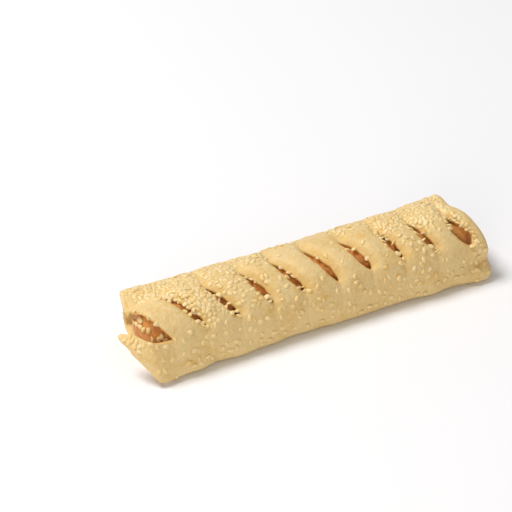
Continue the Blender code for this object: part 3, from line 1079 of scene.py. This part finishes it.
SEED_CREAM = (0.85, 0.63, 0.28, 1)
SEED_IVORY = (0.88, 0.68, 0.35, 1)
SEED_GOLD = (0.80, 0.53, 0.18, 1)
IVORY_TONES = (0.35, 0.9)
GOLDEN_TONES = (0.02, 0.12)
GOLDEN_TINT = 0.7
SEED_STREAKS = (0.9 * MM, 2.0, 0.5, 0.4, 0.8)
STREAK_TINT = 0.25
SEED_ROUGHNESS = 0.4
STREAK_ROUGHNESS = 0.2
SEED_RELIEF = (0.5 * MM, 2.0, 0.5)
SEED_RELIEF_DEPTH = 0.05 * MM


def sesame():
    """Hulled sesame: cream to ivory, now and then golden, with a soft sheen."""
    made, shader, wire = new_finish(
        "sesame",
        {
            "Subsurface Weight": 0.2,
            "Subsurface Radius": (1.0, 0.85, 0.6),
            "Subsurface Scale": 0.0004,
        },
    )
    tone = wire.stored("tone")
    golden = 1 - tone.between(*GOLDEN_TONES)
    streaks = wire.blotches(*SEED_STREAKS)
    colour = tone.between(*IVORY_TONES).tint(SEED_CREAM, SEED_IVORY)
    colour = (golden * GOLDEN_TINT).tint(colour, SEED_GOLD)
    colour = (streaks * STREAK_TINT).tint(colour, SEED_GOLD)
    plug(shader, "Base Color", colour)
    plug(shader, "Roughness", SEED_ROUGHNESS + STREAK_ROUGHNESS * streaks)
    relief_on(shader, wire.mottle(*SEED_RELIEF), SEED_RELIEF_DEPTH)
    return made


seeds = show("sesame_seeds", joined_seeds())
seeds.data.materials.append(sesame())
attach(seeds, "root")

# The table and the light. A plain white table, one wide soft light above and behind the roll,
# and white walls all round.

FLOOR_HALF = 4.0
TABLE_WHITE = (0.92, 0.92, 0.92, 1)
TABLE_SHADE = (0.90, 0.90, 0.89, 1)
TABLE_MOTTLE = (400 * MM, 2.0, 0.5)
ROOM_COLOUR = (1.0, 0.985, 0.96, 1)
ROOM_BRIGHTNESS = 0.355

# Each lamp as (name, direction it stands in, distance, size across, watts, colour).
LAMPS = (
    ("key", (-0.38, 0.26, 0.88), 2.2, 0.9, 38.0, (1.0, 1.0, 1.05)),
    ("fill", (-0.6, -0.75, 0.4), 1.2, 0.6, 3.2, (1.0, 0.9, 0.72)),
)

floor_mesh = bpy.data.meshes.new("table_top")
corners = [(-1, -1), (1, -1), (1, 1), (-1, 1)]
floor_mesh.from_pydata([(x * FLOOR_HALF, y * FLOOR_HALF, 0) for x, y in corners], [], [(0, 1, 2, 3)])
floor = show("table_top", floor_mesh)
white, white_shader, white_wire = new_finish("white_table", {"Roughness": 0.8})
plug(white_shader, "Base Color", white_wire.mottle(*TABLE_MOTTLE).tint(TABLE_SHADE, TABLE_WHITE))
floor.data.materials.append(white)

for name, direction, distance, size, watts, colour in LAMPS:
    lamp_data = bpy.data.lights.new(name, "AREA")
    lamp_data.shape = "DISK"
    lamp_data.size = size
    lamp_data.energy = watts
    lamp_data.color = colour
    lamp = bpy.data.objects.new(name, lamp_data)
    direction = Vector(direction).normalized()
    lamp.location = direction * distance
    lamp.rotation_euler = direction.to_track_quat("Z", "Y").to_euler()
    bpy.context.scene.collection.objects.link(lamp)

world = bpy.data.worlds.new("room")
world.use_nodes = True
room = world.node_tree.nodes["Background"]
room.inputs["Color"].default_value = ROOM_COLOUR
room.inputs["Strength"].default_value = ROOM_BRIGHTNESS
bpy.context.scene.world = world
bpy.context.scene.view_settings.view_transform = "Standard"

# The camera stands to the left of the roll's front and looks down on it.

AZIMUTH = math.radians(-27.2)
ELEVATION = math.radians(38)
DISTANCE = 1.1
LENS = 156.1
AIM_LEFT = 24.8 * MM
AIM_UP = 23.5 * MM

back = Vector(
    (
        math.sin(AZIMUTH) * math.cos(ELEVATION),
        -math.cos(AZIMUTH) * math.cos(ELEVATION),
        math.sin(ELEVATION),
    )
)
right = Vector((math.cos(AZIMUTH), math.sin(AZIMUTH), 0))
up = back.cross(right)
eye = ROLL_MIDDLE + back * DISTANCE
target = ROLL_MIDDLE - right * AIM_LEFT + up * AIM_UP
sight = (eye - target).normalized()
level = up.cross(sight).normalized()
camera_data = bpy.data.cameras.new("camera")
camera_data.lens = LENS
camera = bpy.data.objects.new("camera", camera_data)
turned = Matrix((level, sight.cross(level), sight)).transposed().to_4x4()
camera.matrix_world = Matrix.Translation(eye) @ turned
bpy.context.scene.collection.objects.link(camera)
bpy.context.scene.camera = camera
